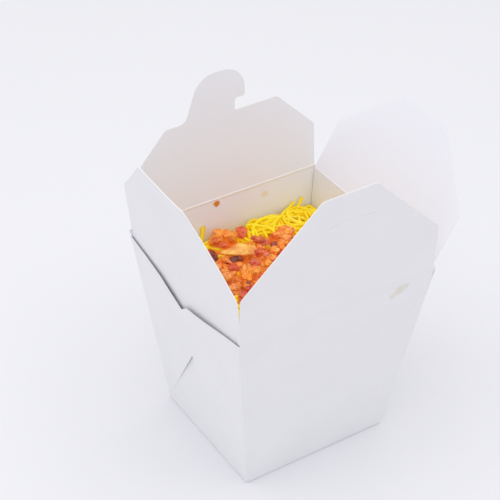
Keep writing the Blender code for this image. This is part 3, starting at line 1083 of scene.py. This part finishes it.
def lumpy(bm, size, centre, turn, seed, levels, rough=1.0):
    """Adds a lump of meat: a ball with facets, dents and crumbs on it."""
    made = bmesh.ops.create_icosphere(bm, subdivisions=levels, radius=1.0)["verts"]
    rng = random.Random(seed)
    offset = Vector([rng.uniform(-50, 50) for _ in range(3)])
    for vert in made:
        way = vert.co.normalized()
        bumps = 0.30 * noise.noise(way * 1.1 + offset) + 0.14 * noise.noise(way * 2.6 + offset)
        crag = 0.12 * noise.noise(way * 5.5 + offset) + 0.07 * noise.noise(way * 11.0 + offset)
        crag -= 0.16 * abs(noise.noise(way * 3.1 - offset))
        vert.co = way * (0.92 + bumps + crag * rough)
    low = Vector([min(v.co[k] for v in made) for k in range(3)])
    high = Vector([max(v.co[k] for v in made) for k in range(3)])
    for vert in made:
        for k in range(3):
            vert.co[k] = ((vert.co[k] - low[k]) / (high[k] - low[k]) - 0.5) * size[k]
    matrix = Matrix.Translation(centre) @ Matrix.Rotation(turn, 4, "Z")
    bmesh.ops.transform(bm, matrix=matrix, verts=made)


CHUNK_KIND = {
    "chunk_back_left": "orange",
    "chunk_back_mid": "red",
    "chunk_left_dark": "dark",
    "chunk_centre_dark": "dark",
    "chunk_right_back": "orange",
    "chunk_right": "red",
    "chunk_middle": "orange",
    "chunk_left": "red",
    "chunk_front_middle": "orange",
    "chunk_front_left": "red",
    "chunk_front_right": "orange",
    "chunk_front_tip": "orange",
}


def make_chunks(finishes, heap):
    for number, (name, x, y, length, width, height, turn, lift) in enumerate(CHUNKS):
        z = bed_height(x * MM, y * MM) / MM + height / 2 - CHUNK_SINK / MM + lift
        bm = bmesh.new()
        size = (length * MM, width * MM, height * MM)
        lumpy(bm, size, Vector((x, y, z)) * MM, math.radians(turn), SEED + number, 5)
        piece = make_piece(name + "_meat", bm, [finishes[CHUNK_KIND[name]]])
        piece.data.shade_smooth()
        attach(piece, "box")
        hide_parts(name)
        heap.put(x, y, z - 0.2, min(length, width, height) / 2)


def make_slice(finish):
    bm = bmesh.new()
    half, wide = SLICE_LONG / 2, SLICE_WIDE
    points = [
        (-half, -0.42 * wide),
        (half, -0.5 * wide),
        (0.72 * half, 0.22 * wide),
        (0.05 * half, 0.5 * wide),
    ]
    outline_face(bm, points, [1.0 * MM, 1.2 * MM, 1.6 * MM, 2.4 * MM])
    cut_into_grid(bm, 0, [step * 1.5 * MM for step in range(-9, 10)])
    cut_into_grid(bm, 1, [step * 1.5 * MM for step in range(-4, 5)])
    for vert in bm.verts:
        wave = noise.noise(vert.co / (6 * MM) + Vector((3, 1, 7)))
        vert.co.z = 1.1 * MM * wave + 0.9 * MM * (vert.co.x / half) ** 2
    x, y = SLICE_AT
    z = bed_height(x, y) + 4.2 * MM
    turn = Matrix.Rotation(math.radians(SLICE_TURN_DEG), 4, "Z")
    tilt = Matrix.Rotation(math.radians(SLICE_TILT_DEG), 4, "X")
    bmesh.ops.transform(bm, matrix=Matrix.Translation((x, y, z)) @ turn @ tilt, verts=bm.verts)
    piece = make_piece("sauced_slice_meat", bm, [finish])
    wall = piece.modifiers.new("thickness", "SOLIDIFY")
    wall.thickness = SLICE_THICK
    wall.offset = 0.0
    soft = piece.modifiers.new("soft edges", "SUBSURF")
    soft.levels = 1
    soft.render_levels = 1
    settle(piece)
    piece.data.shade_smooth()
    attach(piece, "box")
    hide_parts("sauced_slice")


def in_topping(x, y):
    """Above 0 where the topping lies, highest in its middle."""
    ragged = 0.25 * noise.noise(Vector((x, y, 9.0)) / 9.0)
    bare = smooth_step(x, -4.0, 4.0) * smooth_step(y, 29.0, 36.0) + 2.0 * smooth_step(y, 42.0, 45.0)
    return 1.0 - math.hypot((x + 2) / 30.0, (y - 8) / 37.0) + ragged - bare


def make_crust(heap, finish):
    """The sauced mass that the chunks and bits sit in: broken plates with grooves between them."""
    bm = bmesh.new()
    bmesh.ops.create_grid(bm, x_segments=110, y_segments=120, size=1.0)
    for vert in bm.verts:
        x, y = 36.0 * vert.co.x - 2.0, 41.0 * vert.co.y + 6.0
        near, next_near = noise.voronoi(Vector((x, y, 4.0)) / 4.6)[0][:2]
        plate = 2.2 * min(next_near - near, 0.55)
        grain = 0.9 * noise.noise(Vector((x, y, 1.0)) / 2.2) + 0.5 * noise.noise(Vector((x, y, 2.0)) / 0.9)
        where, away = heap.patch(x, y, 3.0)
        mean = float(heap.height[where][away < 3.0].mean())
        edge = smooth_step(in_topping(x, y), 0.16, -0.12)
        vert.co = (x * MM, y * MM, (mean + 1.1 + plate + grain - 4.5 * edge) * MM)
    outside = [v for v in bm.verts if in_topping(v.co.x / MM, v.co.y / MM) < -0.14]
    bmesh.ops.delete(bm, geom=outside, context="VERTS")
    for vert in bm.verts:
        heap.put(vert.co.x / MM, vert.co.y / MM, vert.co.z / MM - 0.5, 0.5)
    bmesh.ops.recalc_face_normals(bm, faces=bm.faces)
    if sum(face.normal.z for face in bm.faces) < 0:
        bmesh.ops.reverse_faces(bm, faces=bm.faces)
    crust = make_piece("topping_crust", bm, [finish])
    body = crust.modifiers.new("body", "SOLIDIFY")
    body.thickness = 1.5 * MM
    body.offset = -1.0
    settle(crust)
    crust.data.shade_smooth()
    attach(crust, "box")


CRUMBS = (("orange", 90, 3.0, 7.5), ("red", 48, 2.8, 6.5), ("dark", 12, 2.4, 5.0))  # count, sizes in mm
CRUMB_ROUGH = 2.2


def make_crumbs(heap, finishes):
    """Small bits of meat over the topping, one mesh for each colour."""
    rng = random.Random(SEED + 5)
    for kind, wanted, low, high in CRUMBS:
        bm = bmesh.new()
        count = 0
        while count < wanted:
            x, y = rng.uniform(-34, 30), rng.uniform(-32, 44)
            if in_topping(x, y) < rng.uniform(0.0, 0.25):
                continue
            count += 1
            size = rng.uniform(low, high)
            shares = (rng.uniform(0.8, 1.5), rng.uniform(0.7, 1.0), rng.uniform(0.35, 0.6))
            shape = [size * share for share in shares]
            reach = shape[1] / 2
            z = heap.under(x, y, reach) - reach + 0.1 * shape[2]
            centre = Vector((x, y, z)) * MM
            turn = rng.uniform(0, 6.3)
            levels = 3 if size > 4 else 2
            lumpy(bm, [side * MM for side in shape], centre, turn, count + 100, levels, CRUMB_ROUGH)
            heap.put(x, y, z - 0.3, min(reach, shape[2] / 2))
        piece = make_piece(f"meat_bits_{kind}", bm, [finishes[kind]])
        piece.data.shade_smooth()
        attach(piece, "box")


def make_food():
    heap = HeapMap(core_height)
    make_core(noodle_core())
    make_strands(heap, noodle_yellow())
    finishes = {kind: sauced_meat(f"sauced meat {kind}", stops) for kind, stops in MEAT_STOPS.items()}
    make_chunks(finishes, heap)
    make_slice(sauced_slice_finish())
    make_crust(heap, finishes["orange"])
    make_crumbs(heap, finishes)


# Camera, lights, floor

CAMERA_AT = (-0.34053, -0.48315, 0.5465)
CAMERA_YAW_DEG, CAMERA_DOWN_DEG, CAMERA_ROLL_DEG = 33.76, 36.9, 1.47
CAMERA_LENS = 111.5


def make_camera():
    data = bpy.data.cameras.new("camera")
    data.sensor_width = 36.0
    data.lens = CAMERA_LENS
    camera = bpy.data.objects.new("camera", data)
    bpy.context.scene.collection.objects.link(camera)
    yaw, down, roll = (math.radians(a) for a in (CAMERA_YAW_DEG, CAMERA_DOWN_DEG, CAMERA_ROLL_DEG))
    ahead = Vector((math.sin(yaw) * math.cos(down), math.cos(yaw) * math.cos(down), -math.sin(down)))
    right = Vector((math.cos(yaw), -math.sin(yaw), 0.0))
    up = right.cross(ahead)
    across = right * math.cos(roll) + up * math.sin(roll)
    above = up * math.cos(roll) - right * math.sin(roll)
    turn = Matrix((across, above, -ahead)).transposed().to_4x4()
    camera.matrix_world = Matrix.Translation(CAMERA_AT) @ turn
    bpy.context.scene.camera = camera


def soft_light(name, at, aim, size, power):
    data = bpy.data.lights.new(name, "AREA")
    data.shape = "SQUARE"
    data.size = size
    data.energy = power
    light = bpy.data.objects.new(name, data)
    bpy.context.scene.collection.objects.link(light)
    light.location = at
    way = Vector(aim) - Vector(at)
    light.rotation_euler = way.to_track_quat("-Z", "Y").to_euler()


def make_studio():
    world = bpy.data.worlds.new("studio")
    world.use_nodes = True
    sky = world.node_tree.nodes["Background"]
    sky.inputs["Color"].default_value = (0.985, 0.975, 1.0, 1.0)
    sky.inputs["Strength"].default_value = 0.76
    bpy.context.scene.world = world
    soft_light("left window", (-1.1, 0.5, 0.9), (0, 0, 0.06), 1.2, 1.7)
    soft_light("top panel", (0.0, -0.1, 1.2), (0, 0, 0.05), 1.4, 5.2)
    bm = bmesh.new()
    bmesh.ops.create_grid(bm, x_segments=1, y_segments=1, size=4.0)
    mesh = bpy.data.meshes.new("studio_floor")
    bm.to_mesh(mesh)
    bm.free()
    mesh.materials.append(floor_white())
    floor = bpy.data.objects.new("studio_floor", mesh)
    bpy.context.scene.collection.objects.link(floor)
    bpy.context.scene.view_settings.view_transform = "Standard"


def main():
    make_camera()
    make_studio()
    board, edge, crease = white_board(), cut_edge(), creased_board()
    make_box_body([board, edge])
    for side in ("left", "right", "front", "back"):
        make_crease(side, [crease if side == "back" else board, edge])
        make_flap(side, [board, edge])
    make_food()


main()
